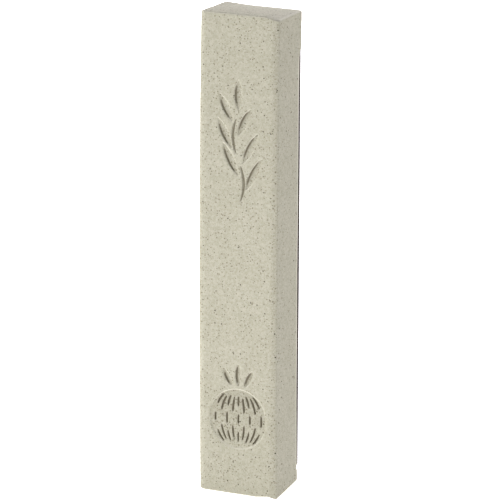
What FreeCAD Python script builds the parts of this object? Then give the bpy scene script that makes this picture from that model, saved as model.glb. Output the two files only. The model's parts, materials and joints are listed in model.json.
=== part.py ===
import FreeCAD, Part
import math
import os

# A doorpost case for a rolled parchment: a cast stone cover that slides up off a moulded
# back plate, with the wrapped roll held in two spring clips on the plate.
#
# Frame: millimetres, +Z up the doorpost, the front faces -Y, X across. The origin is on the
# rear mounting face of the back plate, level with the middle of the cover's height.

# --- Cover: outside ---
CASE_HEIGHT = 120.0
CASE_WIDTH = 20.4
CASE_DEPTH = 15.1           # from the mounting face to the carved front face
EASE_ACROSS = 1.7           # the front face rolls back over this width at either side
EASE_BACK = 0.6             # and by this much, where it meets the side in an edge
FRONT_ARRIS_R = 0.5         # softening of that edge
BACK_CORNER_R = 1.5         # upright corners at the back
TOP_DRAFT = 0.056           # fall of the top face towards the back, per mm of depth
BOTTOM_DRAFT = 0.084        # rise of the underside towards the back, per mm of depth
END_EDGE_R = 0.35           # soft edge round each end
HOOD_BACK_Y = -0.3          # above the plate the cover reaches further back, as a hood

# --- Plate: outside ---
FLANGE_THICKNESS = 1.0
FLANGE_INSET = 0.6          # how far the flange stops short of the cover's sides
FLANGE_BOTTOM_Z = -55.8
FLANGE_TOP_Z = 49.6
FLANGE_CORNER_R = 0.6

# --- Dovetail that the cover slides on ---
SLIDE_GAP = 0.12            # clearance on every sliding face
RAIL_HEIGHT = 2.0
RAIL_HEAD_WIDTH = 13.0
DOVETAIL_ANGLE = 60.0       # between a flank and the flange, in degrees
RAIL_BOTTOM_Z = -58.0
RAIL_TOP_Z = 48.0
STOP_GAP = 0.1              # between the plate's top ends and what they meet in the cover

# --- Parchment roll in its film ---
SHEET_LENGTH = 100.0
SHEET_THICKNESS = 0.3
ROLL_CORE_R = 0.9
ROLL_PITCH = 0.42
ROLL_TURNS = 5
FILM_THICKNESS = 0.15
FILM_GAP = 0.08
FILM_OVERHANG = 0.2         # film beyond each end of the sheet

# --- Clips and plug on the plate ---
CLIP_GAP = 0.12             # running clearance round the wrapped roll
CLIP_THICKNESS = 0.8
CLIP_LENGTH = 8.0
CLIP_MOUTH_HALF_ANGLE = 55.0
CLIP_Z = 24.0               # clips sit this far above and below the middle
PLUG_THICKNESS = 5.5        # closes the foot of the channel
PLUG_GAP = 0.25
ROLL_TO_RAIL = 0.2
ROLL_END_GAP = 0.1

# --- Channel in the cover ---
CHANNEL_CLIP_GAP = 0.23

# --- Screw holes and adhesive pads ---
SCREW_HOLE_R = 1.7
SCREW_HEAD_R = 3.3
SCREW_Z = 40.0
PAD_WIDTH = 8.8
PAD_LENGTH = 27.8
PAD_THICKNESS = 1.0
PAD_CORNER_R = 1.0
PAD_Z = 20.0
PAD_RECESS_DEPTH = 0.6
PAD_RECESS_GAP = 0.1
LINER_THICKNESS = 0.1
LINER_TAB = 3.0             # finger tab beyond the pad's lower end, over its recess

# --- Carving on the front ---
CARVE_DEEP = 0.36           # of a leaf's sloping floor, at its left side
CARVE_SHALLOW = 0.18        # and at its right edge
VEIN_WIDTH = 0.45           # of the deep stroke along a leaf's left edge
VEIN_DEPTH = 0.6
STROKE_DEPTH = 0.5          # the narrow strokes have a flat floor
SPRIG_FOOT_Z = 13.0
SPRIG_TIP_Z = 44.2
SPRIG_SWAY = 1.1            # how far the stem swings to either side
SPRIG_STEM_WIDTH = 0.7
SPRIG_STEM_GAP = 0.3        # from the stem's middle to the end of either stroke
LEAF_COUNT = 6
LEAF_FIRST = 0.12           # share of the stem's height where the lowest leaf springs
LEAF_LAST = 0.66
LEAF_LENGTH = 9.8
LEAF_SHRINK = 0.22          # the highest leaf is shorter by this share
LEAF_BULGE = 1.05           # of each arc, from the line between the leaf's tips
LEAF_ANGLE = 27.0           # away from upright, in degrees
LEAF_STAND_OFF = 0.9        # from the stem to the leaf's foot
FRUIT_X = 0.2
FRUIT_Z = -40.8
FRUIT_R = 7.7
FRUIT_SUNK = 0.24           # the fruit's disc lies a little below the face
MERIDIANS = 9
MERIDIAN_SPREAD = 0.8       # outermost meridian, as a share of the radius
MERIDIAN_WIDTH = 0.5
MERIDIAN_REACH = 0.88       # how far the meridians run towards the poles
STROKES_PER_MERIDIAN = 3    # every other meridian has one fewer
STROKE_FILL = 0.86          # share of its length that each stroke of a meridian takes
CROWN_SEPALS = 3
CROWN_GAP = 0.45            # between the fruit and its crown
SEPAL_ANGLE = 26.0
SEPAL_SPACING = 1.7         # between the sepals' feet
SEPAL_LENGTH = 6.2
SEPAL_SHRINK = 0.18         # each sepal away from the middle is shorter by this share
SEPAL_BULGE = 0.75

# --- Working values ---
OVERCUT = 1.0               # how far cutters run past the face they open
MATCH = 0.001               # two places nearer than this are the same
END_FACE_NORMAL_Z = 0.5     # a face with a steeper normal than this lies across the case

# --- Worked out from the above ---
FRONT_Y = -CASE_DEPTH
COVER_BACK_Y = -(FLANGE_THICKNESS + SLIDE_GAP)
RAIL_FACE_Y = -(FLANGE_THICKNESS + RAIL_HEIGHT)
DOVETAIL_RUN = RAIL_HEIGHT / math.tan(math.radians(DOVETAIL_ANGLE))
SHEET_R = ROLL_CORE_R + ROLL_PITCH * ROLL_TURNS + SHEET_THICKNESS
FILM_INNER_R = SHEET_R + FILM_GAP
ROLL_R = FILM_INNER_R + FILM_THICKNESS
ROLL_Y = RAIL_FACE_Y - ROLL_TO_RAIL - ROLL_R
CLIP_INNER_R = ROLL_R + CLIP_GAP
CLIP_OUTER_R = CLIP_INNER_R + CLIP_THICKNESS
CHANNEL_R = CLIP_OUTER_R + CHANNEL_CLIP_GAP
PLUG_R = CHANNEL_R - PLUG_GAP
PLUG_TOP_Z = RAIL_BOTTOM_Z + PLUG_THICKNESS
FILM_BOTTOM_Z = PLUG_TOP_Z + ROLL_END_GAP
FILM_TOP_Z = FILM_BOTTOM_Z + SHEET_LENGTH + 2 * FILM_OVERHANG
SLOT_TOP_Z = RAIL_TOP_Z + STOP_GAP
HOOD_BOTTOM_Z = FLANGE_TOP_Z + STOP_GAP
CHANNEL_TOP_Z = FILM_TOP_Z + 2 * ROLL_END_GAP


def save(shape, name):
    shape.exportStep(os.path.join("parts", name + ".step"))


def prism(points, direction):
    """Solid from a closed outline of straight sides, pushed along a direction."""
    outline = Part.makePolygon(points + [points[0]])
    return Part.Face(outline).extrude(direction)


def arc_edge(first, middle, last):
    return Part.Arc(first, middle, last).toShape()


def line_edge(first, last):
    return Part.makeLine(first, last)


def rounded_outline(place, low, high, radii):
    """Face bounded by a rectangle with its own radius at each corner.

    place turns two coordinates into a point, low and high are opposite corners, and radii
    go round from the low corner: low-low, high-low, high-high, low-high.
    """
    corners = [(low[0], low[1]), (high[0], low[1]), (high[0], high[1]), (low[0], high[1])]
    inwards = [(1, 1), (-1, 1), (-1, -1), (1, -1)]
    arcs = []
    for index, (corner, inward, radius) in enumerate(zip(corners, inwards, radii)):
        centre = (corner[0] + inward[0] * radius, corner[1] + inward[1] * radius)
        half = radius * math.sqrt(0.5)
        beside = place(corner[0], centre[1])
        below = place(centre[0], corner[1])
        middle = place(centre[0] - inward[0] * half, centre[1] - inward[1] * half)
        ends = (beside, below) if index % 2 == 0 else (below, beside)
        arcs.append((ends[0], middle, ends[1]))
    edges = []
    for index, (first, middle, last) in enumerate(arcs):
        edges.append(arc_edge(first, middle, last))
        edges.append(line_edge(last, arcs[(index + 1) % len(arcs)][0]))
    return Part.Face(Part.Wire(edges))


def cylinder_z(radius, y, bottom_z, top_z):
    return Part.makeCylinder(radius, top_z - bottom_z, FreeCAD.Vector(0, y, bottom_z))


# --- Cover ---

def cover_bar(y_back, bottom_z, top_z):
    """Upright bar of the cover's section, with eased front and round back corners."""
    side_x = CASE_WIDTH / 2
    ease_r = (EASE_ACROSS ** 2 + EASE_BACK ** 2) / (2 * EASE_BACK)
    ease_half_turn = math.atan2(EASE_ACROSS, ease_r - EASE_BACK) / 2
    ease_start_x = side_x - EASE_ACROSS
    ease_middle = (ease_start_x + ease_r * math.sin(ease_half_turn),
                   FRONT_Y + ease_r * (1 - math.cos(ease_half_turn)))
    round_off = BACK_CORNER_R * (1 - math.sqrt(0.5))

    def half_outline(side):
        """Points of one side from the front to the back: two arcs of three points each."""
        flat = [
            (ease_start_x, FRONT_Y),
            ease_middle,
            (side_x, FRONT_Y + EASE_BACK),
            (side_x, y_back - BACK_CORNER_R),
            (side_x - round_off, y_back - round_off),
            (side_x - BACK_CORNER_R, y_back),
        ]
        return [FreeCAD.Vector(side * x, y, bottom_z) for x, y in flat]

    left = half_outline(-1)
    right = half_outline(1)
    edges = [line_edge(left[0], right[0]), line_edge(left[-1], right[-1])]
    for points in (left, right):
        edges.append(arc_edge(*points[:3]))
        edges.append(line_edge(points[2], points[3]))
        edges.append(arc_edge(*points[3:]))
    outline = Part.Wire(Part.__sortEdges__(edges))
    return Part.Face(outline).extrude(FreeCAD.Vector(0, 0, top_z - bottom_z))


def cover_blank():
    """The cover's outside: eased upright corners, a hood above the plate, drafted ends."""
    half_width = CASE_WIDTH / 2
    half_height = CASE_HEIGHT / 2
    main = cover_bar(COVER_BACK_Y, -half_height, half_height)
    hood = cover_bar(HOOD_BACK_Y, HOOD_BOTTOM_Z, half_height)
    block = main.fuse(hood).removeSplitter()
    depth = -FRONT_Y
    side_view = [
        FreeCAD.Vector(-half_width, FRONT_Y, -half_height),
        FreeCAD.Vector(-half_width, 0, -half_height + BOTTOM_DRAFT * depth),
        FreeCAD.Vector(-half_width, 0, half_height - TOP_DRAFT * depth),
        FreeCAD.Vector(-half_width, FRONT_Y, half_height),
    ]
    block = block.common(prism(side_view, FreeCAD.Vector(CASE_WIDTH, 0, 0)))
    block = block.makeFillet(FRONT_ARRIS_R, front_arrises(block))
    return block.makeFillet(END_EDGE_R, end_edges(block))


def front_arrises(block):
    """The two upright edges where the eased front meets the sides."""
    arris_y = FRONT_Y + EASE_BACK
    return [
        edge for edge in block.Edges
        if all(abs(end.Y - arris_y) + abs(abs(end.X) - CASE_WIDTH / 2) < MATCH
               for end in (edge.Vertexes[0], edge.Vertexes[-1]))
    ]


def end_edges(block):
    """Edges of the two end faces, but not of the hood's underside."""
    found = []
    for face in block.Faces:
        upright = abs(face.normalAt(0, 0).z) < END_FACE_NORMAL_Z
        if not upright and abs(face.CenterOfMass.z) > HOOD_BOTTOM_Z + OVERCUT:
            found.extend(face.OuterWire.Edges)
    return found


def dovetail(bottom_z, top_z, gap):
    """Dovetail bar, grown by gap on its flanks and face."""
    foot = RAIL_HEAD_WIDTH / 2 - DOVETAIL_RUN
    side_gap = gap / math.sin(math.radians(DOVETAIL_ANGLE))
    head_gap = side_gap + gap / math.tan(math.radians(DOVETAIL_ANGLE))
    y_foot = -FLANGE_THICKNESS
    y_head = RAIL_FACE_Y - gap
    points = [
        FreeCAD.Vector(-foot - side_gap, y_foot, bottom_z),
        FreeCAD.Vector(foot + side_gap, y_foot, bottom_z),
        FreeCAD.Vector(foot + DOVETAIL_RUN + head_gap, y_head, bottom_z),
        FreeCAD.Vector(-foot - DOVETAIL_RUN - head_gap, y_head, bottom_z),
    ]
    return prism(points, FreeCAD.Vector(0, 0, top_z - bottom_z))


def u_bar(radius, y_back, bottom_z, top_z):
    """Bar with a half-round front and straight sides, centred on the roll."""
    size = (2 * radius, y_back - ROLL_Y, top_z - bottom_z)
    straight = Part.makeBox(*size, FreeCAD.Vector(-radius, ROLL_Y, bottom_z))
    return straight.fuse(cylinder_z(radius, ROLL_Y, bottom_z, top_z)).removeSplitter()


def carve_point(x, z):
    return FreeCAD.Vector(x, FRONT_Y - OVERCUT, z)


def carved_lens(start, end, left, right, depth):
    """Cutter between two arcs that meet at start and end, with a flat floor.

    left and right say how far each arc's middle lies from the straight line between the
    tips, left or right of it. A negative one bows the other way, for a curved stroke.
    """
    along = ((end[0] - start[0]) / 2, (end[1] - start[1]) / 2)
    half_length = math.hypot(*along)
    aside = (along[1] / half_length, -along[0] / half_length)
    middle = (start[0] + along[0], start[1] + along[1])
    left_middle = carve_point(middle[0] - aside[0] * left, middle[1] - aside[1] * left)
    right_middle = carve_point(middle[0] + aside[0] * right, middle[1] + aside[1] * right)
    tips = (carve_point(*start), carve_point(*end))
    outline = Part.Wire([
        arc_edge(tips[0], left_middle, tips[1]),
        arc_edge(tips[1], right_middle, tips[0]),
    ])
    return Part.Face(outline).extrude(FreeCAD.Vector(0, OVERCUT + depth, 0))


def carved_leaf(start, end, bulge):
    """Cutters for one leaf: a floor that slopes up to the right, and a deep left stroke."""
    lens = carved_lens(start, end, bulge, bulge, CARVE_DEEP + OVERCUT)
    rise = (CARVE_DEEP - CARVE_SHALLOW) / (2 * bulge)
    length = math.hypot(end[0] - start[0], end[1] - start[1])
    tilt = math.degrees(math.atan2(end[0] - start[0], end[1] - start[1]))
    reach = bulge + OVERCUT
    floor = [
        FreeCAD.Vector(-reach, FRONT_Y - 2 * OVERCUT, -OVERCUT),
        FreeCAD.Vector(reach, FRONT_Y - 2 * OVERCUT, -OVERCUT),
        FreeCAD.Vector(reach, FRONT_Y + CARVE_SHALLOW - rise * OVERCUT, -OVERCUT),
        FreeCAD.Vector(-reach, FRONT_Y + CARVE_DEEP + rise * OVERCUT, -OVERCUT),
    ]
    wedge = prism(floor, FreeCAD.Vector(0, 0, length + 2 * OVERCUT))
    wedge.rotate(FreeCAD.Vector(0, 0, 0), FreeCAD.Vector(0, 1, 0), tilt)
    wedge.translate(FreeCAD.Vector(start[0], 0, start[1]))
    vein = carved_lens(start, end, bulge, VEIN_WIDTH - bulge, VEIN_DEPTH)
    return [lens.common(wedge), vein]


def stem_z(share):
    """Height on the front at a share of the sprig's height."""
    return SPRIG_FOOT_Z + share * (SPRIG_TIP_Z - SPRIG_FOOT_Z)


def sprig_cutters():
    """A leafy sprig: an S-shaped stem of two bowed strokes, leaves either side, one at the tip."""
    leaf_top = SPRIG_TIP_Z - LEAF_LENGTH * (1 - LEAF_SHRINK)
    stem_end = (leaf_top - LEAF_STAND_OFF - SPRIG_FOOT_Z) / (SPRIG_TIP_Z - SPRIG_FOOT_Z)
    middle = stem_end / 2
    sway = SPRIG_SWAY
    cutters = [
        carved_lens((0, stem_z(0)), (0, stem_z(middle) - SPRIG_STEM_GAP),
                    -sway, sway + SPRIG_STEM_WIDTH, STROKE_DEPTH),
        carved_lens((0, stem_z(middle) + SPRIG_STEM_GAP), (0, stem_z(stem_end)),
                    sway + SPRIG_STEM_WIDTH, -sway, STROKE_DEPTH),
    ]
    cutters += carved_leaf((0, leaf_top), (0, SPRIG_TIP_Z), LEAF_BULGE)
    for index in range(LEAF_COUNT):
        rank = index / (LEAF_COUNT - 1)
        share = LEAF_FIRST + (LEAF_LAST - LEAF_FIRST) * rank
        side = 1 if index % 2 == 0 else -1
        length = LEAF_LENGTH * (1 - LEAF_SHRINK * rank)
        lean = math.radians(LEAF_ANGLE) * side
        bow = sway * math.sin(2 * math.pi * share / stem_end)
        foot = (bow + side * LEAF_STAND_OFF, stem_z(share))
        tip = (foot[0] + length * math.sin(lean), foot[1] + length * math.cos(lean))
        cutters += carved_leaf(foot, tip, LEAF_BULGE)
    return cutters


def meridian_point(spread, height):
    """Point of the fruit: spread runs -1 to 1 from left to right edge, height -1 to 1."""
    return (FRUIT_X + FRUIT_R * spread * math.sqrt(max(0.0, 1 - height * height)),
            FRUIT_Z + FRUIT_R * height)


def fruit_cutters():
    """A round fruit: a faint bevelled disc, broken meridian strokes and a crown of sepals."""
    disc = Part.makeCone(FRUIT_R + OVERCUT, FRUIT_R - FRUIT_SUNK, OVERCUT + FRUIT_SUNK,
                         carve_point(FRUIT_X, FRUIT_Z), FreeCAD.Vector(0, 1, 0))
    cutters = [disc]
    for line in range(MERIDIANS):
        spread = MERIDIAN_SPREAD * (2 * line / (MERIDIANS - 1) - 1)
        pieces = STROKES_PER_MERIDIAN - line % 2
        share = 2 * MERIDIAN_REACH / pieces
        trim = share * (1 - STROKE_FILL) / 2
        for piece in range(pieces):
            low = -MERIDIAN_REACH + share * piece
            cutters.append(meridian_stroke(spread, low + trim, low + share - trim))
    for sepal in range(CROWN_SEPALS):
        step = sepal - (CROWN_SEPALS - 1) / 2
        lean = math.radians(SEPAL_ANGLE) * step
        length = SEPAL_LENGTH * (1 - SEPAL_SHRINK * abs(step))
        foot = (FRUIT_X + SEPAL_SPACING * step, FRUIT_Z + FRUIT_R + CROWN_GAP)
        tip = (foot[0] + length * math.sin(lean), foot[1] + length * math.cos(lean))
        cutters += carved_leaf(foot, tip, SEPAL_BULGE)
    return cutters


def meridian_stroke(spread, low, high):
    """One stroke of a meridian, bowed outwards with the fruit."""
    start = meridian_point(spread, low)
    end = meridian_point(spread, high)
    on_curve = meridian_point(spread, (low + high) / 2)
    along = (end[0] - start[0], end[1] - start[1])
    length = math.hypot(*along)
    offset = ((on_curve[0] - start[0]) * along[1] - (on_curve[1] - start[1]) * along[0]) / length
    half = MERIDIAN_WIDTH / 2
    return carved_lens(start, end, half - offset, half + offset, FRUIT_SUNK + STROKE_DEPTH)


def make_case_body():
    hollow = [
        dovetail(-CASE_HEIGHT, SLOT_TOP_Z, SLIDE_GAP),
        u_bar(CHANNEL_R, COVER_BACK_Y + OVERCUT, -CASE_HEIGHT, CHANNEL_TOP_Z),
    ]
    body = cover_blank().cut(hollow)
    return body.cut(sprig_cutters() + fruit_cutters())


# --- Back plate ---

def flat_panel(half_width, bottom_z, top_z, corner_r, y_front, y_back):
    """Flat rounded panel standing upright, from y_front back to y_back."""
    face = rounded_outline(
        lambda x, z: FreeCAD.Vector(x, y_front, z),
        (-half_width, bottom_z), (half_width, top_z), [corner_r] * 4,
    )
    return face.extrude(FreeCAD.Vector(0, y_back - y_front, 0))


def roll_clip(middle_z):
    """Open ring that grips the roll, sunk into the rail's face."""
    low = middle_z - CLIP_LENGTH / 2
    high = middle_z + CLIP_LENGTH / 2
    ring = cylinder_z(CLIP_OUTER_R, ROLL_Y, low, high)
    ring = ring.cut(cylinder_z(CLIP_INNER_R, ROLL_Y, low, high))
    reach = 2 * CLIP_OUTER_R
    spread = reach * math.tan(math.radians(CLIP_MOUTH_HALF_ANGLE))
    mouth = [
        FreeCAD.Vector(0, ROLL_Y, low),
        FreeCAD.Vector(-spread, ROLL_Y - reach, low),
        FreeCAD.Vector(spread, ROLL_Y - reach, low),
    ]
    return ring.cut(prism(mouth, FreeCAD.Vector(0, 0, CLIP_LENGTH)))


def screw_cutter(z):
    """Clearance hole and countersink for one fixing screw."""
    head_depth = SCREW_HEAD_R - SCREW_HOLE_R
    hole = Part.makeCylinder(SCREW_HOLE_R, RAIL_HEIGHT + FLANGE_THICKNESS + OVERCUT,
                             FreeCAD.Vector(0, OVERCUT, z), FreeCAD.Vector(0, -1, 0))
    sink = Part.makeCone(SCREW_HOLE_R, SCREW_HEAD_R, head_depth,
                         FreeCAD.Vector(0, RAIL_FACE_Y + head_depth, z),
                         FreeCAD.Vector(0, -1, 0))
    return hole.fuse(sink)


def make_back_plate():
    half_width = CASE_WIDTH / 2 - FLANGE_INSET
    plate = flat_panel(half_width, FLANGE_BOTTOM_Z, FLANGE_TOP_Z, FLANGE_CORNER_R,
                       -FLANGE_THICKNESS, 0)
    pieces = [
        dovetail(RAIL_BOTTOM_Z, RAIL_TOP_Z, 0),
        u_bar(PLUG_R, RAIL_FACE_Y, RAIL_BOTTOM_Z, PLUG_TOP_Z),
        roll_clip(CLIP_Z),
        roll_clip(-CLIP_Z),
    ]
    plate = plate.fuse(pieces)
    recess_half_width = PAD_WIDTH / 2 + PAD_RECESS_GAP
    recess_up = PAD_LENGTH / 2 + PAD_RECESS_GAP
    recess_down = recess_up + LINER_TAB
    cutters = [screw_cutter(SCREW_Z), screw_cutter(-SCREW_Z)]
    for z in (PAD_Z, -PAD_Z):
        cutters.append(flat_panel(recess_half_width, z - recess_down, z + recess_up,
                                  PAD_CORNER_R, -PAD_RECESS_DEPTH, OVERCUT))
    return plate.cut(cutters).removeSplitter()


# --- Roll ---

def spiral_arcs(start_r):
    """Spiral of half circles, each half a pitch wider than the last and centred to meet it."""
    arcs = []
    for half_turn in range(2 * ROLL_TURNS):
        side = 1 if half_turn % 2 == 0 else -1
        centre_x = 0 if side == 1 else ROLL_PITCH / 2
        radius = start_r + half_turn * ROLL_PITCH / 2
        arcs.append(arc_edge(
            FreeCAD.Vector(centre_x + side * radius, ROLL_Y, 0),
            FreeCAD.Vector(centre_x, ROLL_Y + side * radius, 0),
            FreeCAD.Vector(centre_x - side * radius, ROLL_Y, 0),
        ))
    return arcs


def make_scroll_parchment():
    """Blank sheet rolled into a spiral."""
    inner_r = ROLL_CORE_R
    outer_r = ROLL_CORE_R + SHEET_THICKNESS
    growth = ROLL_TURNS * ROLL_PITCH
    ends = [
        line_edge(FreeCAD.Vector(inner_r, ROLL_Y, 0), FreeCAD.Vector(outer_r, ROLL_Y, 0)),
        line_edge(FreeCAD.Vector(inner_r + growth, ROLL_Y, 0),
                  FreeCAD.Vector(outer_r + growth, ROLL_Y, 0)),
    ]
    edges = spiral_arcs(inner_r) + spiral_arcs(outer_r) + ends
    outline = Part.Wire(Part.__sortEdges__(edges))
    sheet = Part.Face(outline).extrude(FreeCAD.Vector(0, 0, SHEET_LENGTH))
    sheet.translate(FreeCAD.Vector(0, 0, FILM_BOTTOM_Z + FILM_OVERHANG))
    return sheet


def make_scroll_wrap():
    """Thin film sleeve round the rolled sheet."""
    outside = cylinder_z(ROLL_R, ROLL_Y, FILM_BOTTOM_Z, FILM_TOP_Z)
    inside = cylinder_z(FILM_INNER_R, ROLL_Y, FILM_BOTTOM_Z, FILM_TOP_Z)
    return outside.cut(inside)


# --- Adhesive pads and their liners ---

def make_adhesive_pads():
    """Two foam pads in the plate's rear recesses, standing a little proud of it."""
    pads = []
    for z in (PAD_Z, -PAD_Z):
        pads.append(flat_panel(PAD_WIDTH / 2, z - PAD_LENGTH / 2, z + PAD_LENGTH / 2,
                               PAD_CORNER_R, -PAD_RECESS_DEPTH,
                               PAD_THICKNESS - PAD_RECESS_DEPTH))
    return Part.makeCompound(pads)


def make_pad_liners():
    """Release liners on the pads' free faces, each with a tab to peel it by."""
    face_y = PAD_THICKNESS - PAD_RECESS_DEPTH
    liners = []
    for z in (PAD_Z, -PAD_Z):
        liners.append(flat_panel(PAD_WIDTH / 2, z - PAD_LENGTH / 2 - LINER_TAB,
                                 z + PAD_LENGTH / 2, PAD_CORNER_R,
                                 face_y, face_y + LINER_THICKNESS))
    return Part.makeCompound(liners)


def main():
    os.makedirs("parts", exist_ok=True)
    save(make_case_body(), "case_body")
    save(make_back_plate(), "back_plate")
    save(make_scroll_parchment(), "scroll_parchment")
    save(make_scroll_wrap(), "scroll_wrap")
    save(make_adhesive_pads(), "adhesive_pads")
    save(make_pad_liners(), "pad_liners")


main()
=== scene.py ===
import json
import math

import bmesh
import bpy
import numpy as np
from mathutils import Matrix, Vector, noise


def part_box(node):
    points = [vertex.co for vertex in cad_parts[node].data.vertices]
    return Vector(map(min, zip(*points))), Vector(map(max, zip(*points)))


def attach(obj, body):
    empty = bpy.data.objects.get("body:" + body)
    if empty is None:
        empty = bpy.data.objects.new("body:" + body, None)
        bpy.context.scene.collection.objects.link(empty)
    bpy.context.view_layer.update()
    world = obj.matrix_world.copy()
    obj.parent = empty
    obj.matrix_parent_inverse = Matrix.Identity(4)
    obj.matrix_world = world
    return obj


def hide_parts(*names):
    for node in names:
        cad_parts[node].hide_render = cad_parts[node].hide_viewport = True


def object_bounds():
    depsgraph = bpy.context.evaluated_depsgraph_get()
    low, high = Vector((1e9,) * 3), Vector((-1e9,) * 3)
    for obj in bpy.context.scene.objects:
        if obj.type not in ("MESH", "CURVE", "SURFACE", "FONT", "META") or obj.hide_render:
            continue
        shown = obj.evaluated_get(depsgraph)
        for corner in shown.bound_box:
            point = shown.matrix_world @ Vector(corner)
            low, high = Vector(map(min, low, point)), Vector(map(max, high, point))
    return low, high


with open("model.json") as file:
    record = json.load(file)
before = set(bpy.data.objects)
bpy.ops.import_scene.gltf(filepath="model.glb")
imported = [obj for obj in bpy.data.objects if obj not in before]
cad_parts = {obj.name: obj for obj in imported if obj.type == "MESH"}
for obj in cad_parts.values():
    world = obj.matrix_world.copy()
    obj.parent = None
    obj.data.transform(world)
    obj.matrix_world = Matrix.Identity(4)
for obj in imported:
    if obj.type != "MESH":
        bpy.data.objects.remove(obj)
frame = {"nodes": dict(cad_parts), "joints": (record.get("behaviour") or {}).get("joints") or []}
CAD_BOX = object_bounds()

MM = 0.001                      # one millimetre, in the scene's metres
TINY = 1e-9
WELD_REACH = 1e-4               # mm, points closer than this become one
SMOOTH_SHARE = 0.5              # how far one pass of smoothing moves a point to its neighbours
NOISE_OFFSET = Vector((17.0, 5.0, 11.0))        # from one seed's noise to the next one's

# --- Camera: the angle and distance that the object is shown from ---
CAMERA_AZIMUTH = 24.6           # degrees
CAMERA_ELEVATION = 15.4         # degrees
CAMERA_DISTANCE = 0.9658        # metres
CAMERA_LENS = 286.3             # mm
CAMERA_SENSOR = 36.0            # mm
CAMERA_ROLL = 0.0045            # radians
CAMERA_SHIFT = (-0.0017, 0.0011)

# --- Cast stone cover, in mm. A reach is where a move starts and the length over which it grows ---
STONE_VOXEL = 0.15
STONE_FACES = 190000
STONE_SMOOTHING = 2
WAVE = 0.05                     # slow unevenness of the cast faces
WAVE_LENGTH = 13.0
WAVE_SEED = 3
HOLLOW_HALF_WIDTH = 7.2         # the slot and the channel lie inside this
HOLLOW_FRONT = 2.2              # and at least this far behind the front face
HOLLOW_TOP = 2.0                # and at least this far below the top
SIDE_REACH = (8.4, 1.6)         # out from the middle, where a side's own moves grow to full
BOW = 0.4                       # the left side swells this much at mid height
BOW_FADE = 0.7                  # share of the swell that is gone at the two ends
PINCH = 0.15                    # the left side draws in this much at the very top
PINCH_START = 0.75              # share of half the height where that starts
FLARE = 0.25                    # the right side stands out this much at its two ends
TUCK = 0.15                     # the sides draw in this much where they meet the plate
TUCK_BACK_REACH = (-3.1, 1.1)   # towards the back
TUCK_SIDE_REACH = (7.8, 1.2)    # out from the middle
TUCK_FOOT = -56.5               # where that starts, near the plate's lower end
TUCK_TOP = 49.0                 # and where it stops, near its upper end
CROWN = 0.42                    # rise of the top face's middle
CROWN_FADE = 0.5                # share of that rise that is gone at the sides
LIFT = 0.45                     # extra rise of the top's back left corner
TOP_REACH = (-2.5, 1.2)         # up from the top, for the crown and the lift
DIP = 0.75                      # drop of the top's front right corner
DIP_REACH = (6.5, 3.5)          # out from the middle
DIP_DEPTH_REACH = (-5.0, 3.5)   # up from the top
DIP_CURVE = 1.5                 # more than 1 keeps the drop close to the corner
FOOT = 0.2                      # the foot's front edge reaches down this much further
FOOT_REACH = (-3.5, 2.0)        # down from the foot
SAG = 0.5                       # drop of the foot's front right corner
RISE = 0.4                      # rise of the foot beside that corner
RISE_REACH = (5.0, 3.0)         # out from the middle

# --- Painted shade and patina in the carving, and a painted highlight on the edges ---
CARVING_HALF_WIDTH = 8.35       # mm, carved strokes lie inside this
CARVING_REAR = 1.2              # mm behind the front face, further back than any stroke
CARVING_SPANS = ((12.0, 46.0), (-50.0, -25.0))      # mm, lowest and highest point of each carving
CARVING_FULL_DEPTH = 0.55       # mm, where the painted shade and patina in the grooves are at their darkest
CARVING_SHADE_START = 0.35      # share of that depth where the painted shade and patina start
REAR_HIGHLIGHT = 1.6                 # painted highlight on the rear corners, when that on the two ends is 1
END_HIGHLIGHT_REACH = (0.15, 0.3)    # upward or downward part of a normal, where the painted highlight grows
END_HIGHLIGHT_STOP = (-0.99, 0.08)   # the same, with its sign turned: flat ends have none
REAR_HIGHLIGHT_REACH = (0.05, 0.15)  # rearward part of a normal
SIDE_HIGHLIGHT_REACH = (0.3, 0.3)    # sideways part of a normal

# --- Moulded back plate, in mm ---
PLATE_VOXEL = 0.14
PLATE_FACES = 120000
PLATE_SMOOTHING = 3

# --- Parchment, in mm ---
SHEET_THICK = 0.3
SHEET_CORE = 0.9                # inner radius of the roll
SHEET_TURNS = 5
SHEET_STEPS = 40                # points along the sheet in each turn
SHEET_ROWS = 61                 # points up the sheet
SHEET_LOOSE = 0.03              # how far a coil strays from a true spiral
SHEET_LOOSE_PACE = (3.1, 5)     # waves of that in a turn, and radians from foot to top
SHEET_LOOSE_END = 0.98          # share of the sheet after which it lies true
SHEET_SLIP = 0.35               # how far a coil stands back at the roll's ends
TOP_SLIP_PACE = (0.7, 0.0)      # waves of that in a turn, and where it starts, in radians
FOOT_SLIP_PACE = (0.55, 1.0)

# --- Film, in mm ---
FILM_THICK = 0.05
FILM_TURNS = 1.12
FILM_STEP = 0.09                # how far the film's lap stands off the turn below
FILM_START = 0.6                # radians, where its inner edge lies
FILM_COLUMNS = 121
FILM_ROWS = 81
PLEAT = 0.03                    # half the depth of a pleat
PLEATS = 17                     # in a turn
PLEAT_SHARE = 0.06              # share of the length that is pleated, at each end
FOLD = 0.6                      # how far the ends turn in
FOLD_SHARE = 0.006              # share of the length that does

# --- Pads and liners, in mm ---
PAD_STEP = 0.35                 # between points on a pad
PANEL_CORNER = 1.0              # corner radius of the pads and the liners
PAD_ROUNDING = 0.18             # how far a pad's rim is rounded back
PAD_RIM = 0.5                   # width of that rim
PAD_CELL = 0.9                  # width of the hollows in the foam's skin
PAD_CELL_DEPTH = 0.03
PAD_CELL_BIAS = 0.02            # mean depth of the skin
PAD_SEED = 7
TAB = 3.4                       # height of a liner's finger tab
TAB_CURL = 0.45                 # how far the tab lifts
TAB_TWIST = 0.15                # share by which one side of it lifts more
RIPPLE = 0.015                  # height of the paper's ripples
RIPPLE_PACE = 0.7               # radians for each mm up

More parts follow.
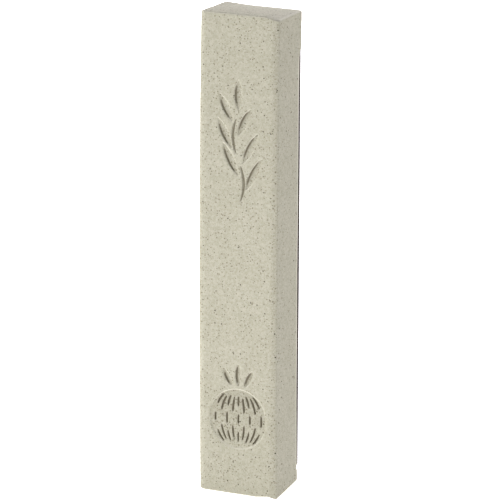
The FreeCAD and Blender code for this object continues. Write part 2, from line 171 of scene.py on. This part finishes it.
# --- Studio ---
FLOOR_DROP = 0.0005             # metres from the foot down to the floor
FLOOR_HALF_SIDE = 3.0           # metres
FLOOR_GLOW = 0.85               # light that the floor gives off
FLOOR_SEEN = 1.1                # how brightly the camera sees that glow
ROOM_GLOW = 0.53                # light from the white room at floor level, fading to none overhead
FRONT_TINT = (1.0, 0.998, 0.993)
REAR_TINT = (0.97, 0.943, 1.0)
SOFTBOXES = (                   # name, azimuth, elevation, distance in m, side in m, watts, tint
    ("key_light", -66, 3, 0.7, 0.47, 0.9, FRONT_TINT),
    ("left_light", -85, 20, 1.2, 0.8, 9.4, FRONT_TINT),
    ("front_top", -10, 42, 1.2, 0.8, 3.3, FRONT_TINT),
    ("low_fill", -15, -17, 0.15, 0.03, 0.026, FRONT_TINT),
    ("back_light", 180, 32, 1.0, 0.5, 11.8, REAR_TINT),
)


# ---------------------------------------------------------------- mesh helpers

def new_object(name, mesh):
    made = bpy.data.objects.new(name, mesh)
    bpy.context.scene.collection.objects.link(made)
    return made


def coordinates(mesh):
    flat = np.zeros(len(mesh.vertices) * 3)
    mesh.vertices.foreach_get("co", flat)
    return flat.reshape(-1, 3)


def set_coordinates(mesh, points):
    mesh.vertices.foreach_set("co", points.ravel())
    mesh.update()


def normals(mesh):
    flat = np.zeros(len(mesh.vertices) * 3)
    mesh.vertex_normals.foreach_get("vector", flat)
    return flat.reshape(-1, 3)


def add_attribute(mesh, name, values):
    """Keeps one number for each point, which a material can read by its name."""
    layer = mesh.attributes.new(name, "FLOAT", "POINT")
    layer.data.foreach_set("value", values.astype(np.float32))


def baked(piece, modifiers):
    """Replaces the piece's mesh with the result of modifiers, given as (type, settings)."""
    for kind, settings in modifiers:
        added = piece.modifiers.new(kind, kind)
        for key, value in settings.items():
            setattr(added, key, value)
    graph = bpy.context.evaluated_depsgraph_get()
    result = bpy.data.meshes.new_from_object(piece.evaluated_get(graph))
    piece.modifiers.clear()
    piece.data = result
    return piece


def remeshed_copy(node, name, voxel, smoothing):
    """A dense copy of a CAD node, in millimetres, with its sharp edges softened."""
    mesh = frame["nodes"][node].data.copy()
    mesh.materials.clear()
    mesh.transform(Matrix.Scale(1 / MM, 4))
    piece = new_object(name, mesh)
    return baked(piece, [
        ("WELD", {"merge_threshold": WELD_REACH}),
        ("REMESH", {"mode": "VOXEL", "voxel_size": voxel, "use_smooth_shade": True}),
        ("SMOOTH", {"factor": SMOOTH_SHARE, "iterations": smoothing}),
    ])


def thinned(piece, faces):
    """Simplifies flat stretches until about this many triangles are left."""
    share = min(1.0, faces / (2 * len(piece.data.polygons)))
    return baked(piece, [("DECIMATE", {"ratio": share})])


def into_metres(piece):
    """Brings a piece made in millimetres to the scene's size, and shades it smooth."""
    mesh = piece.data
    mesh.transform(Matrix.Scale(MM, 4))
    mesh.polygons.foreach_set("use_smooth", [True] * len(mesh.polygons))
    mesh.update()
    return piece


def slow_noise(points, length, seed):
    """Smooth noise between about -1 and 1 at each point, one wave per length."""
    offset = seed * NOISE_OFFSET
    return np.array([noise.noise(Vector(p) / length + offset) for p in points])


def ramped(value, start, length):
    """0 up to start, then straight up to 1 over this length, and 1 from there on."""
    return np.clip((value - start) / length, 0, 1)


def box_in_mm(node):
    """The lowest and the highest corner of a CAD node."""
    low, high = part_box(node)
    return low / MM, high / MM


# ---------------------------------------------------------------- node helpers

GRAIN_RADIUS = (0.7, 0.5)       # spread and smallest of the grains' radii, as shares of a given one
GRAIN_EDGE = (-0.15, 0.35)      # where a grain's soft edge starts and ends, in the same shares


class Nodes:
    """Short way to write a node tree: every call adds a node and links its inputs."""

    def __init__(self, name):
        self.material = bpy.data.materials.new(name)
        self.material.use_nodes = True
        self.tree = self.material.node_tree
        self.tree.nodes.clear()

    def add(self, kind, settings=None, **inputs):
        node = self.tree.nodes.new(kind)
        for key, value in (settings or {}).items():
            setattr(node, key, value)
        for key, value in inputs.items():
            self.put(node.inputs[key.replace("_", " ")], value)
        return node

    def put(self, socket, value):
        if isinstance(value, bpy.types.NodeSocket):
            self.tree.links.new(value, socket)
        else:
            socket.default_value = value

    def position(self):
        """Where a point is on its piece, in millimetres."""
        spot = self.add("ShaderNodeTexCoord").outputs["Object"]
        scaled = self.add("ShaderNodeVectorMath", {"operation": "SCALE"})
        self.put(scaled.inputs[0], spot)
        self.put(scaled.inputs["Scale"], 1 / MM)
        return scaled.outputs[0]

    def attribute(self, name):
        return self.add("ShaderNodeAttribute", {"attribute_name": name}).outputs["Fac"]

    def math(self, operation, *values):
        node = self.add("ShaderNodeMath", {"operation": operation})
        for socket, value in zip(node.inputs, values):
            self.put(socket, value)
        return node.outputs[0]

    def noise(self, spot, scale, detail, roughness):
        node = self.add("ShaderNodeTexNoise", Vector=spot, Scale=scale, Detail=detail,
                        Roughness=roughness)
        return node.outputs["Fac"]

    def ramp(self, value, low, high, start=0.0, end=1.0):
        """Goes softly from start to end while the value goes from low to high."""
        node = self.add("ShaderNodeMapRange", {"interpolation_type": "SMOOTHSTEP"})
        self.put(node.inputs["Value"], value)
        self.put(node.inputs["From Min"], low)
        self.put(node.inputs["From Max"], high)
        self.put(node.inputs["To Min"], start)
        self.put(node.inputs["To Max"], end)
        return node.outputs["Result"]

    def mix(self, share, first, second):
        node = self.add("ShaderNodeMix", {"data_type": "RGBA"})
        self.put(node.inputs["Factor"], share)
        self.put(node.inputs[6], first)
        self.put(node.inputs[7], second)
        return node.outputs[2]

    def tinted(self, base, mask, strength, colour):
        """Lays a colour over the base where the mask is, at this strength."""
        return self.mix(self.math("MULTIPLY", mask, strength), base, colour)

    def specks(self, spot, per_mm, radius, share):
        """1 inside round grains of about this radius in mm, which a share of the cells has."""
        cell = self.add("ShaderNodeTexVoronoi", {"feature": "F1"}, Vector=spot, Scale=per_mm)
        distance = self.math("DIVIDE", cell.outputs["Distance"], per_mm)
        split = self.add("ShaderNodeSeparateColor", Color=cell.outputs["Color"])
        spread, smallest = (radius * share_of_radius for share_of_radius in GRAIN_RADIUS)
        size = self.math("MULTIPLY_ADD", split.outputs["Green"], spread, smallest)
        inside = self.math("SUBTRACT", size, distance)
        soft = self.ramp(inside, radius * GRAIN_EDGE[0], radius * GRAIN_EDGE[1])
        chosen = self.math("LESS_THAN", split.outputs["Red"], share)
        return self.math("MULTIPLY", soft, chosen)

    def bump(self, height, distance, strength, under=None):
        """Relief whose height of 1 stands this distance out, in metres."""
        node = self.add("ShaderNodeBump", Height=height, Distance=distance, Strength=strength)
        if under is not None:
            self.put(node.inputs["Normal"], under)
        return node.outputs["Normal"]

    def surface(self, **inputs):
        shader = self.add("ShaderNodeBsdfPrincipled", **inputs)
        out = self.add("ShaderNodeOutputMaterial")
        self.put(out.inputs["Surface"], shader.outputs[0])
        return self.material


def srgb(red, green, blue):
    """A screen colour of 0 to 255 as the linear colour that a node takes, by the sRGB curve."""
    def linear(value):
        value = value / 255
        return value / 12.92 if value <= 0.04045 else ((value + 0.055) / 1.055) ** 2.4
    return (linear(red), linear(green), linear(blue), 1.0)


# ---------------------------------------------------------------- materials

NOISE_SPAN = (0.3, 0.7)         # nearly all of a noise lies between these values
STONE_GRAINS = (                # grains per mm, radius in mm, share of cells, strength, colour
    (1.1, 0.16, 0.35, 0.3, srgb(204, 202, 190)),
    (2.3, 0.14, 0.9, 0.6, srgb(124, 119, 100)),
    (1.35, 0.19, 0.7, 0.75, srgb(104, 98, 80)),
    (0.62, 0.21, 0.5, 0.9, srgb(60, 54, 40)),
)


def stone_material():
    """Cast resin and stone dust: pale greige, sandy, with a pale and three dark sorts of grain."""
    n = Nodes("cast_stone")
    spot = n.position()
    cloud = n.noise(spot, scale=0.16, detail=4.0, roughness=0.6)
    sand = n.noise(spot, scale=1.5, detail=4.0, roughness=0.75)
    grain = n.noise(spot, scale=3.6, detail=3.0, roughness=0.7)
    base = n.mix(n.ramp(cloud, *NOISE_SPAN), srgb(183, 180, 163), srgb(188, 185, 169))
    base = n.mix(n.ramp(sand, 0.42, 0.62, end=0.65), base, srgb(159, 155, 136))
    base = n.mix(n.ramp(grain, *NOISE_SPAN, end=0.55), base, srgb(161, 157, 139))
    for per_mm, radius, share, strength, colour in STONE_GRAINS:
        base = n.tinted(base, n.specks(spot, per_mm, radius, share), strength, colour)
    # painted shade and patina in the carving, darker the deeper the groove
    base = n.tinted(base, n.attribute("carving_shade_and_patina"), 0.85, srgb(106, 98, 80))
    # painted highlight on the rounded edges of the ends and on the rear corners
    base = n.tinted(base, n.attribute("edge_highlight"), 0.5, srgb(222, 218, 204))
    normal = n.bump(grain, distance=0.00003, strength=0.6)
    dust = n.noise(spot, scale=9.0, detail=2.0, roughness=0.6)
    normal = n.bump(dust, distance=0.00001, strength=0.5, under=normal)
    pits = n.specks(spot, per_mm=0.8, radius=0.12, share=0.25)
    normal = n.bump(n.math("SUBTRACT", 1.0, pits), distance=0.00004, strength=0.7, under=normal)
    rough = n.ramp(grain, *NOISE_SPAN, start=0.72, end=0.86)
    return n.surface(Base_Color=base, Roughness=rough, Specular_IOR_Level=0.3, Normal=normal)


def plastic_material():
    """Dark brown moulded plastic with a fine satin texture and faint flow marks."""
    n = Nodes("brown_plastic")
    spot = n.position()
    flow = n.noise(spot, scale=0.11, detail=3.0, roughness=0.5)
    base = n.mix(n.ramp(flow, *NOISE_SPAN), srgb(48, 34, 31), srgb(56, 41, 38))
    texture = n.noise(spot, scale=7.0, detail=2.0, roughness=0.6)
    rough = n.ramp(texture, *NOISE_SPAN, start=0.42, end=0.56)
    normal = n.bump(texture, distance=0.000008, strength=0.5)
    return n.surface(Base_Color=base, Roughness=rough, Specular_IOR_Level=0.2, Normal=normal)


def parchment_material():
    """Prepared skin: cream, with yellower clouds, veins and pores."""
    n = Nodes("parchment")
    spot = n.position()
    cloud = n.noise(spot, scale=0.22, detail=5.0, roughness=0.65)
    base = n.mix(n.ramp(cloud, *NOISE_SPAN), srgb(231, 217, 186), srgb(214, 194, 156))
    veins = n.noise(spot, scale=0.9, detail=6.0, roughness=0.8)
    base = n.mix(n.ramp(veins, 0.56, 0.66, end=0.35), base, srgb(190, 164, 122))
    pores = n.specks(spot, per_mm=2.2, radius=0.07, share=0.5)
    base = n.tinted(base, pores, 0.45, srgb(160, 130, 92))
    normal = n.bump(veins, distance=0.00003, strength=0.5)
    return n.surface(Base_Color=base, Roughness=0.68, Normal=normal)


def film_material():
    """Clear film: mostly see-through, less so where it turns away, where its pale colour is a painted
    reflection; with soft wrinkles.
    """
    n = Nodes("clear_film")
    spot = n.position()
    edge = n.add("ShaderNodeLayerWeight", Blend=0.35).outputs["Facing"]
    haze = n.noise(spot, scale=0.5, detail=4.0, roughness=0.6)
    # painted reflection: the pale film shows more where it turns away from the view
    alpha = n.math("ADD", n.ramp(edge, 0.1, 1.0, start=0.12, end=0.5),
                   n.math("MULTIPLY", haze, 0.08))
    wrinkle = n.noise(spot, scale=0.8, detail=2.0, roughness=0.4)
    normal = n.bump(wrinkle, distance=0.00025, strength=0.5)
    return n.surface(Base_Color=srgb(236, 240, 243), Roughness=0.09, Alpha=alpha,
                     Normal=normal)


def foam_material():
    """White closed-cell foam, each cell a shallow hollow, with painted shade towards its middle."""
    n = Nodes("white_foam")
    cells = n.add("ShaderNodeTexVoronoi", {"feature": "F1"}, Vector=n.position(), Scale=3.4)
    depth = n.ramp(cells.outputs["Distance"], 0.05, 0.6)
    # painted shade: each hollow is darker towards its middle
    base = n.mix(depth, srgb(205, 205, 198), srgb(238, 238, 232))
    normal = n.bump(depth, distance=0.00008, strength=0.8)
    return n.surface(Base_Color=base, Roughness=0.9, Normal=normal)


def liner_material():
    """Waxed release paper: pale tan, smooth, with upright fibres showing through."""
    n = Nodes("release_paper")
    stretched = n.add("ShaderNodeMapping", Vector=n.position(), Scale=(6.0, 6.0, 0.8))
    fibres = n.noise(stretched.outputs[0], scale=0.8, detail=5.0, roughness=0.7)
    base = n.mix(n.ramp(fibres, 0.35, 0.65), srgb(206, 191, 158), srgb(194, 178, 143))
    normal = n.bump(fibres, distance=0.00001, strength=0.4)
    return n.surface(Base_Color=base, Roughness=0.38, Normal=normal)


def floor_material():
    """Glowing white table. Seen from below it lets the view through."""
    n = Nodes("white_floor")
    paint = n.noise(n.position(), scale=0.02, detail=3.0, roughness=0.5)
    colour = n.mix(paint, (0.93, 0.93, 0.93, 1.0), (0.95, 0.95, 0.95, 1.0))
    matt = n.add("ShaderNodeBsdfDiffuse", Color=colour)
    seen = n.add("ShaderNodeLightPath").outputs["Is Camera Ray"]
    strength = n.math("MAXIMUM", FLOOR_GLOW, n.math("MULTIPLY", seen, FLOOR_SEEN))
    glow = n.add("ShaderNodeEmission", Color=colour, Strength=strength)
    lit = n.add("ShaderNodeAddShader")
    n.put(lit.inputs[0], matt.outputs[0])
    n.put(lit.inputs[1], glow.outputs[0])
    clear = n.add("ShaderNodeBsdfTransparent")
    behind = n.add("ShaderNodeNewGeometry").outputs["Backfacing"]
    either = n.add("ShaderNodeMixShader")
    n.put(either.inputs[0], behind)
    n.put(either.inputs[1], lit.outputs[0])
    n.put(either.inputs[2], clear.outputs[0])
    out = n.add("ShaderNodeOutputMaterial")
    n.put(out.inputs["Surface"], either.outputs[0])
    return n.material


# ---------------------------------------------------------------- stone cover and plate

def finish_piece(piece, body, node, material):
    """Gives a piece its material and the body it rides on, and hides the CAD node it stands for."""
    piece.data.materials.clear()
    piece.data.materials.append(material)
    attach(piece, body)
    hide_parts(node)


def left_swell(x, z, half):
    """How far the left side stands out: a long bow that draws in at the very top."""
    swell = BOW * (1 - BOW_FADE * (z / half) ** 2)
    swell = swell - PINCH * ramped(z, PINCH_START * half, (1 - PINCH_START) * half)
    return swell * ramped(-x, *SIDE_REACH)


def right_flare(x, z, half):
    """How far the right side stands out towards its two ends."""
    return FLARE * (z / half) ** 4 * ramped(x, *SIDE_REACH)


def plate_tuck(x, y, z):
    """How far both sides draw in along the plate, with the sign of the side they are on."""
    beside_plate = ramped(-z, -TUCK_TOP, 1) * ramped(z, TUCK_FOOT, 1)
    tuck = TUCK * ramped(y, *TUCK_BACK_REACH) * beside_plate
    return np.sign(x) * tuck * ramped(np.abs(x), *TUCK_SIDE_REACH)


def top_rise(across, back_and_forth, above_top):
    """How far the top face rises: a crown, and a lift of its back left corner."""
    crown = CROWN * (1 - back_and_forth ** 2) * (1 - CROWN_FADE * across ** 2)
    lift = LIFT * np.clip(back_and_forth, 0, 1) * np.clip(-across, 0, 1) ** 2
    return (crown + lift) * ramped(above_top, *TOP_REACH)


def corner_dip(x, forward, above_top):
    """How far the top's front right corner drops."""
    dip = DIP * forward * ramped(x, *DIP_REACH) ** DIP_CURVE
    return dip * ramped(above_top, *DIP_DEPTH_REACH)


def foot_drop(x, forward, below_foot):
    """How far the foot's front edge drops, with a rise just before its right corner."""
    sag = SAG * ramped(x, *SIDE_REACH)
    sag = sag - RISE * ramped(x, *RISE_REACH)
    return (sag + FOOT) * forward * ramped(below_foot, *FOOT_REACH)


def cover_moves(points, outward):
    """The cover's points, made as uneven as a hand-finished cast. Its hollow moves only at the foot."""
    low, high = box_in_mm("case_body")
    x, y, z = points.T
    hollow = (np.abs(x) < HOLLOW_HALF_WIDTH) & (y > low.y + HOLLOW_FRONT)
    outside = ~hollow | (z > high.z - HOLLOW_TOP)
    half = (high.z - low.z) / 2
    back_and_forth = (2 * y - high.y - low.y) / (high.y - low.y)
    forward = (1 - back_and_forth) / 2
    wave = slow_noise(points, WAVE_LENGTH, WAVE_SEED) * WAVE
    moved = points + outward * (wave * outside)[:, None]
    moved[:, 0] -= left_swell(x, z, half) * outside
    moved[:, 0] += right_flare(x, z, half) * outside
    moved[:, 0] -= plate_tuck(x, y, z)
    moved[:, 2] += top_rise(x / high.x, back_and_forth, z - high.z)
    moved[:, 2] -= corner_dip(x, forward, z - high.z)
    moved[:, 2] -= foot_drop(x, forward, low.z - z)
    return moved


def recess_depth(points):
    """0 on the front face to 1 at the floor of a deep stroke, and 0 everywhere else."""
    low, _ = box_in_mm("case_body")
    x, y, z = points.T
    carved = np.zeros(len(points), bool)
    for foot, top in CARVING_SPANS:
        carved |= (z > foot) & (z < top)
    carved &= (y < low.y + CARVING_REAR) & (np.abs(x) < CARVING_HALF_WIDTH)
    depth = (y - low.y) / CARVING_FULL_DEPTH
    return ramped(depth, CARVING_SHADE_START, 1 - CARVING_SHADE_START) * carved


def painted_edge_highlight(mesh):
    """Painted highlight: 0 on the faces and in the carving, up to 1 on the ends' rounded edges, more at
    the rear.
    """
    aside, rearward, upright = normals(mesh).T
    aside = np.abs(aside)
    upright = np.abs(upright)
    ends = ramped(upright, *END_HIGHLIGHT_REACH) * ramped(-upright, *END_HIGHLIGHT_STOP)
    rear = REAR_HIGHLIGHT * ramped(rearward, *REAR_HIGHLIGHT_REACH) * ramped(aside, *SIDE_HIGHLIGHT_REACH)
    return np.maximum(ends, rear) * (recess_depth(coordinates(mesh)) == 0)


def make_cover():
    """The cover: the CAD shape with soft edges, a cast unevenness, painted shade and patina in the
    grooves and a painted highlight on the edges.
    """
    piece = remeshed_copy("case_body", "carved_cover", STONE_VOXEL, STONE_SMOOTHING)
    set_coordinates(piece.data, cover_moves(coordinates(piece.data), normals(piece.data)))
    thinned(piece, STONE_FACES)
    add_attribute(piece.data, "carving_shade_and_patina", recess_depth(coordinates(piece.data)))
    add_attribute(piece.data, "edge_highlight", painted_edge_highlight(piece.data))
    into_metres(piece)
    finish_piece(piece, "cover", "case_body", stone_material())


def make_plate():
    """The plate with its rail, plug and clips, its moulded edges softened."""
    piece = remeshed_copy("back_plate", "moulded_back_plate", PLATE_VOXEL, PLATE_SMOOTHING)
    thinned(piece, PLATE_FACES)
    into_metres(piece)
    finish_piece(piece, "plate", "back_plate", plastic_material())


# ---------------------------------------------------------------- thin sheets

def grid_faces(rows, columns):
    """Quads of a grid of rows by columns of points, numbered along each row."""
    faces = []
    for row in range(rows - 1):
        for column in range(columns - 1):
            here = row * columns + column
            faces.append((here, here + 1, here + columns + 1, here + columns))
    return faces


def grid_rim(rows, columns):
    """The numbers of the points round the edge of such a grid, in order."""
    rim = list(range(columns))
    rim += [row * columns + columns - 1 for row in range(1, rows)]
    rim += [(rows - 1) * columns + column for column in range(columns - 2, -1, -1)]
    rim += [row * columns for row in range(rows - 2, 0, -1)]
    return rim


def closed_sheet(name, front, back):
    """A thin closed piece between two equal grids of points in millimetres."""
    rows, columns = front.shape[:2]
    count = rows * columns
    faces = grid_faces(rows, columns)
    for face in grid_faces(rows, columns):
        faces.append(tuple(count + corner for corner in reversed(face)))
    rim = grid_rim(rows, columns)
    for here, there in zip(rim, rim[1:] + rim[:1]):
        faces.append((there, here, count + here, count + there))
    points = np.concatenate([front.reshape(-1, 3), back.reshape(-1, 3)])
    mesh = bpy.data.meshes.new(name)
    mesh.from_pydata(points.tolist(), [], faces)
    shaped = bmesh.new()
    shaped.from_mesh(mesh)
    bmesh.ops.recalc_face_normals(shaped, faces=shaped.faces)
    shaped.to_mesh(mesh)
    shaped.free()
    return into_metres(new_object(name, mesh))


# ---------------------------------------------------------------- roll

def roll_axis():
    turn = next(joint for joint in frame["joints"] if joint["name"] == "scroll_turn")
    return Vector(turn["pos_m"]) / MM


def wound_sheet(name, radius, thickness, angle, height):
    """A closed sheet wound round the roll's axis, from this radius outwards."""
    axis = roll_axis()
    inner, outer = (
        np.stack([axis.x + r * np.cos(angle), axis.y + r * np.sin(angle), height], axis=-1)
        for r in (radius, radius + thickness)
    )
    return closed_sheet(name, outer, inner)


def slip(angle, pace, lead):
    """How far each coil stands back from the roll's end."""
    return SHEET_SLIP * (1 - np.cos(pace * angle + lead)) / 2


def make_parchment():
    """The sheet wound from the core outwards, its coils a little loose and its ends uneven."""
    low, high = box_in_mm("scroll_parchment")
    outer = high.x - roll_axis().x - SHEET_THICK
    columns = SHEET_STEPS * SHEET_TURNS + 1
    turn, rise = np.meshgrid(np.linspace(0, SHEET_TURNS, columns), np.linspace(0, 1, SHEET_ROWS))
    radius = SHEET_CORE + (outer - SHEET_CORE) * turn / SHEET_TURNS
    angle = 2 * math.pi * turn
    around, upward = SHEET_LOOSE_PACE
    loose = SHEET_LOOSE * np.sin(around * angle + upward * rise)
    radius = radius + loose * (turn / SHEET_TURNS < SHEET_LOOSE_END)
    top_slip = slip(angle, *TOP_SLIP_PACE)
    foot_slip = slip(angle, *FOOT_SLIP_PACE)
    height = low.z + foot_slip + (high.z - low.z - foot_slip - top_slip) * rise
    piece = wound_sheet("rolled_parchment", radius, SHEET_THICK, angle, height)
    finish_piece(piece, "scroll", "scroll_parchment", parchment_material())


def make_film():
    """A lapped sleeve of clear film, its ends pleated and turned in over the roll."""
    low, high = box_in_mm("scroll_wrap")
    outer = high.x - roll_axis().x - FILM_THICK
    turn, rise = np.meshgrid(np.linspace(0, FILM_TURNS, FILM_COLUMNS),
                             np.linspace(0, 1, FILM_ROWS))
    angle = 2 * math.pi * turn + FILM_START
    radius = outer - FILM_STEP * FILM_TURNS + FILM_STEP * turn
    from_middle = np.abs(rise - 0.5)
    pleated = ramped(from_middle, 0.5 - PLEAT_SHARE, PLEAT_SHARE)
    pleats = PLEAT * (np.sin(PLEATS * angle) - 1) * pleated
    radius = radius + pleats - FOLD * ramped(from_middle, 0.5 - FOLD_SHARE, FOLD_SHARE)
    height = low.z + FILM_THICK + (high.z - low.z - 2 * FILM_THICK) * rise
    piece = wound_sheet("film_sleeve", radius, FILM_THICK, angle, height)
    finish_piece(piece, "scroll", "scroll_wrap", film_material())


# ---------------------------------------------------------------- pads and liners

def rounded_panel(half_width, low_z, high_z, step):
    """Grid of (x, z) points that fills an upright rectangle with rounded corners."""
    half_height = (high_z - low_z) / 2
    columns = int(2 * half_width / step) + 1
    rows = int(2 * half_height / step) + 1
    across, up = np.meshgrid(np.linspace(-1, 1, columns), np.linspace(-1, 1, rows))
    share_x = PANEL_CORNER / half_width
    share_z = PANEL_CORNER / half_height
    in_x = np.clip(np.abs(across) - (1 - share_x), 0, None) / share_x
    in_z = np.clip(np.abs(up) - (1 - share_z), 0, None) / share_z
    reach = np.hypot(in_x, in_z)
    scale = np.where(reach > TINY, np.maximum(in_x, in_z) / np.maximum(reach, TINY), 1)
    x = np.sign(across) * ((1 - share_x) + share_x * in_x * scale)
    z = np.sign(up) * ((1 - share_z) + share_z * in_z * scale)
    x = np.where(in_x > 0, x, across) * half_width
    z = np.where(in_z > 0, z, up) * half_height
    return x, z + (high_z + low_z) / 2


def panel(name, x, z, front, rear):
    """A closed piece over a grid of (x, z) points, between a front and a rear depth at each."""
    return closed_sheet(name, np.stack([x, rear, z], axis=-1), np.stack([x, front, z], axis=-1))


def solid_spans(node):
    """(lowest z, highest z) in millimetres of a node's two solids, below and above z = 0."""
    heights = coordinates(frame["nodes"][node].data)[:, 2] / MM
    lower = heights[heights < 0]
    upper = heights[heights > 0]
    return [(lower.min(), lower.max()), (upper.min(), upper.max())]


def make_pads():
    """Two slabs of foam with a dimpled skin and rounded rims."""
    low, high = box_in_mm("adhesive_pads")
    material = foam_material()
    for index, (foot, top) in enumerate(solid_spans("adhesive_pads")):
        x, z = rounded_panel(high.x, foot, top, PAD_STEP)
        rim = np.minimum(high.x - np.abs(x), np.minimum(z - foot, top - z))
        round_off = PAD_ROUNDING * (1 - ramped(rim, 0, PAD_RIM)) ** 2
        spots = np.stack([x, x * 0, z], axis=-1).reshape(-1, 3)
        cells = slow_noise(spots, PAD_CELL, PAD_SEED + index).reshape(x.shape)
        skin = np.minimum(PAD_CELL_DEPTH * cells - PAD_CELL_BIAS, 0)
        name = f"foam_pad_{index + 1}"
        piece = panel(name, x, z, low.y + round_off, high.y - round_off + skin)
        finish_piece(piece, "plate", "adhesive_pads", material)


def make_liners():
    """Two sheets of release paper whose finger tabs curl away from the plate."""
    low, high = box_in_mm("pad_liners")
    material = liner_material()
    for index, (foot, top) in enumerate(solid_spans("pad_liners")):
        x, z = rounded_panel(high.x, foot, top, 2 * PAD_STEP)
        tab = np.clip((foot + TAB - z) / TAB, 0, 1)
        lift = TAB_CURL * tab ** 2 * (1 + TAB_TWIST * x / high.x)
        ripple = np.maximum(RIPPLE * np.sin(RIPPLE_PACE * z + x), 0)
        name = f"release_liner_{index + 1}"
        piece = panel(name, x, z, low.y + lift + ripple, high.y + lift + ripple)
        finish_piece(piece, "plate", "pad_liners", material)


# ---------------------------------------------------------------- studio

def make_floor():
    height = CAD_BOX[0].z - FLOOR_DROP
    side = FLOOR_HALF_SIDE
    square = ((-side, -side), (side, -side), (side, side), (-side, side))
    mesh = bpy.data.meshes.new("floor")
    mesh.from_pydata([(x, y, height) for x, y in square], [], [(0, 1, 2, 3)])
    mesh.materials.append(floor_material())
    new_object("floor", mesh)


def direction(azimuth, elevation):
    """Unit vector from the object towards a place round it; azimuth 0 is straight in front."""
    a, e = math.radians(azimuth), math.radians(elevation)
    return Vector((math.sin(a) * math.cos(e), -math.cos(a) * math.cos(e), math.sin(e)))


def add_softbox(name, azimuth, elevation, distance, side, watts, tint):
    """Square light that faces the object and isn't seen itself."""
    lamp = bpy.data.lights.new(name, "AREA")
    lamp.shape = "SQUARE"
    lamp.size = side
    lamp.energy = watts
    lamp.color = tint
    holder = bpy.data.objects.new(name, lamp)
    way = direction(azimuth, elevation)
    holder.location = way * distance
    holder.rotation_euler = way.to_track_quat("Z", "Y").to_euler()
    holder.visible_camera = False
    bpy.context.scene.collection.objects.link(holder)


def make_room():
    """White surroundings, dark overhead, that the camera sees as plain white."""
    world = bpy.data.worlds.new("white_room")
    world.use_nodes = True
    tree = world.node_tree
    sky = tree.nodes["Background"]
    sky.inputs["Color"].default_value = (1, 1, 1, 1)
    way = tree.nodes.new("ShaderNodeTexCoord")
    height = tree.nodes.new("ShaderNodeSeparateXYZ")
    light = tree.nodes.new("ShaderNodeMapRange")
    light.inputs["To Min"].default_value = ROOM_GLOW
    light.inputs["To Max"].default_value = 0.0
    ray = tree.nodes.new("ShaderNodeLightPath")
    seen = tree.nodes.new("ShaderNodeMath")
    seen.operation = "MAXIMUM"
    tree.links.new(way.outputs["Generated"], height.inputs[0])
    tree.links.new(height.outputs["Z"], light.inputs["Value"])
    tree.links.new(light.outputs["Result"], seen.inputs[0])
    tree.links.new(ray.outputs["Is Camera Ray"], seen.inputs[1])
    tree.links.new(seen.outputs[0], sky.inputs["Strength"])
    bpy.context.scene.world = world


def make_lights():
    for softbox in SOFTBOXES:
        add_softbox(*softbox)


def make_camera():
    """A long lens, aimed at the middle of the cover and plate together."""
    low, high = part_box("case_body")
    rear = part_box("back_plate")[1].y
    centre = Vector(((low.x + high.x) / 2, (low.y + rear) / 2, (low.z + high.z) / 2))
    lens = bpy.data.cameras.new("camera")
    lens.lens = CAMERA_LENS
    lens.sensor_width = CAMERA_SENSOR
    lens.shift_x, lens.shift_y = CAMERA_SHIFT
    camera = bpy.data.objects.new("camera", lens)
    way = direction(CAMERA_AZIMUTH, CAMERA_ELEVATION)
    turn = way.to_track_quat("Z", "Y").to_matrix().to_4x4()
    roll = Matrix.Rotation(CAMERA_ROLL, 4, "Z")
    camera.matrix_world = Matrix.Translation(centre + way * CAMERA_DISTANCE) @ turn @ roll
    bpy.context.scene.collection.objects.link(camera)
    bpy.context.scene.camera = camera
    bpy.context.scene.view_settings.view_transform = "Standard"


make_cover()
make_plate()
make_parchment()
make_film()
make_pads()
make_liners()
make_floor()
make_room()
make_lights()
make_camera()
